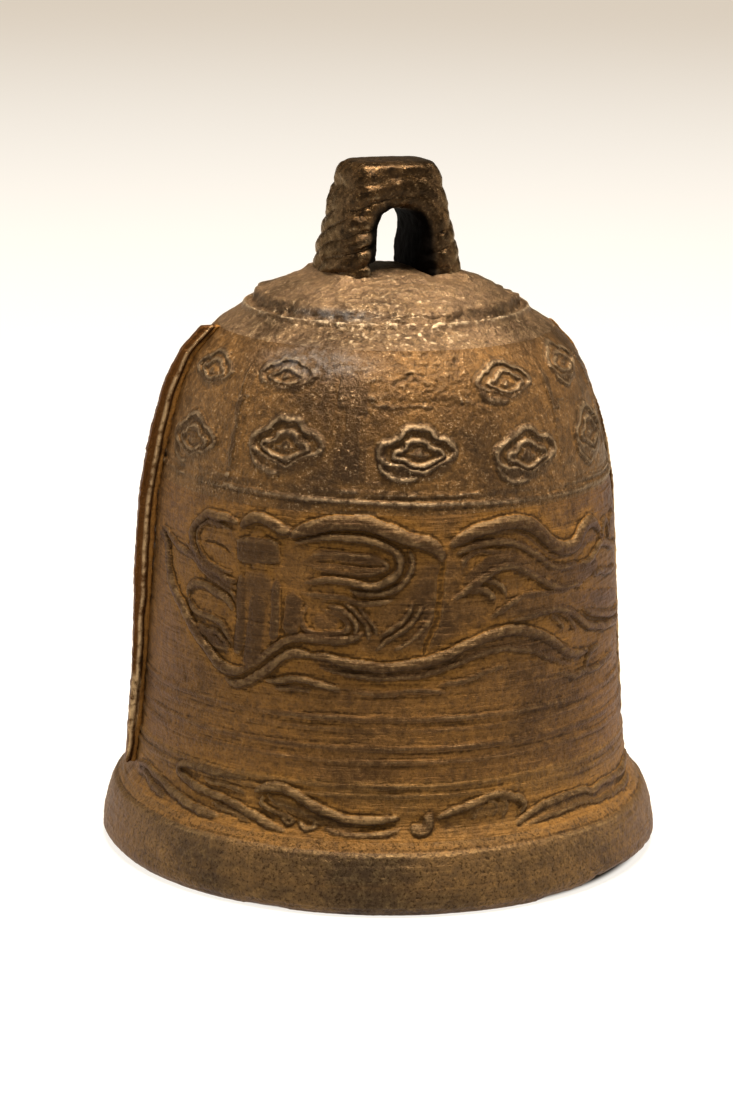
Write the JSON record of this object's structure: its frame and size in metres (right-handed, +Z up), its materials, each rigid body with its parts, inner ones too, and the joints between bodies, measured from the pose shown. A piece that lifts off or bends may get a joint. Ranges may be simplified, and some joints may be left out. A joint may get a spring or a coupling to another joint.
{
  "type": "temple bell",
  "caption": "Small cast bronze temple bell: flared lip, raised cloud medallions and ribbon frieze, hanging loop, and an iron clapper on a link inside.",
  "frame": {"origin": "on the bell's axis, on the floor that its lip stands on", "axes": "+Z up along the bell's axis; the mould seams lie on -X and +X; -Y is the front"},
  "size_m": [0.1626, 0.1626, 0.2],
  "materials": {
    "bell_wall": "cast bronze with a brown patina and ochre dust in the hollows",
    "sound_bow": "cast bronze, brown patina, worn bright along the rounded edge",
    "crown_plate": "rough cast bronze, warm brown patina with blue-grey bloom",
    "crown_ring": "cast bronze line, worn",
    "suspension_loop": "dark cast bronze, nearly black patina, polished by handling on top",
    "seam_fin_left": "rough mould seam in cast bronze",
    "seam_fin_right": "rough mould seam in cast bronze",
    "upper_medallions": "raised cast bronze ornament, brown patina, ochre dust at its foot",
    "lower_medallions": "raised cast bronze ornament, brown patina, ochre dust at its foot",
    "panel_ribs": "raised cast bronze ornament, brown patina, ochre dust at its foot",
    "shoulder_lines": "raised cast bronze ornament, brown patina, ochre dust at its foot",
    "frieze_front": "raised cast bronze ornament, brown patina, ochre dust at its foot",
    "frieze_back": "raised cast bronze ornament, brown patina, ochre dust at its foot",
    "waist_lines_upper": "raised cast bronze ornament, brown patina, ochre dust at its foot",
    "waist_lines_lower": "raised cast bronze ornament, brown patina, ochre dust at its foot",
    "border_lines": "raised cast bronze ornament, brown patina, ochre dust at its foot",
    "cloud_border_front": "raised cast bronze ornament, brown patina, ochre dust at its foot",
    "cloud_border_back": "raised cast bronze ornament, brown patina, ochre dust at its foot",
    "crown_staple": "black forged iron, cast into the crown",
    "hanger_link": "black forged iron rod",
    "clapper_shank": "black forged iron rod, worn bright at the eye",
    "clapper_bob": "cast iron with brown rust and bright striking marks",
    "bob_washer": "black iron"
  },
  "bodies": {
    "bell": {"bell_wall": "bell_wall", "sound_bow": "sound_bow", "crown_plate": "crown_plate", "crown_ring": "crown_ring", "suspension_loop": "suspension_loop", "seam_fin_left": "seam_fin_left", "seam_fin_right": "seam_fin_right", "upper_medallions": "upper_medallions", "lower_medallions": "lower_medallions", "panel_ribs": "panel_ribs", "shoulder_lines": "shoulder_lines", "frieze_front": "frieze_front", "frieze_back": "frieze_back", "waist_lines_upper": "waist_lines_upper", "waist_lines_lower": "waist_lines_lower", "border_lines": "border_lines", "cloud_border_front": "cloud_border_front", "cloud_border_back": "cloud_border_back", "crown_staple": "crown_staple"},
    "link": {"hanger_link": "hanger_link"},
    "clapper": {"clapper_shank": "clapper_shank", "clapper_bob": "clapper_bob", "bob_washer": "bob_washer"}
  },
  "joints": [
    {"name": "link_swing", "type": "hinge", "parent": "bell", "child": "link", "pos_m": [0, 0, 0.129], "axis": [0, 1, 0], "range_deg": [-8, 8]},
    {"name": "clapper_swing", "type": "hinge", "parent": "link", "child": "clapper", "pos_m": [0, 0, 0.1153], "axis": [1, 0, 0], "range_deg": [-33, 33]}
  ]
}
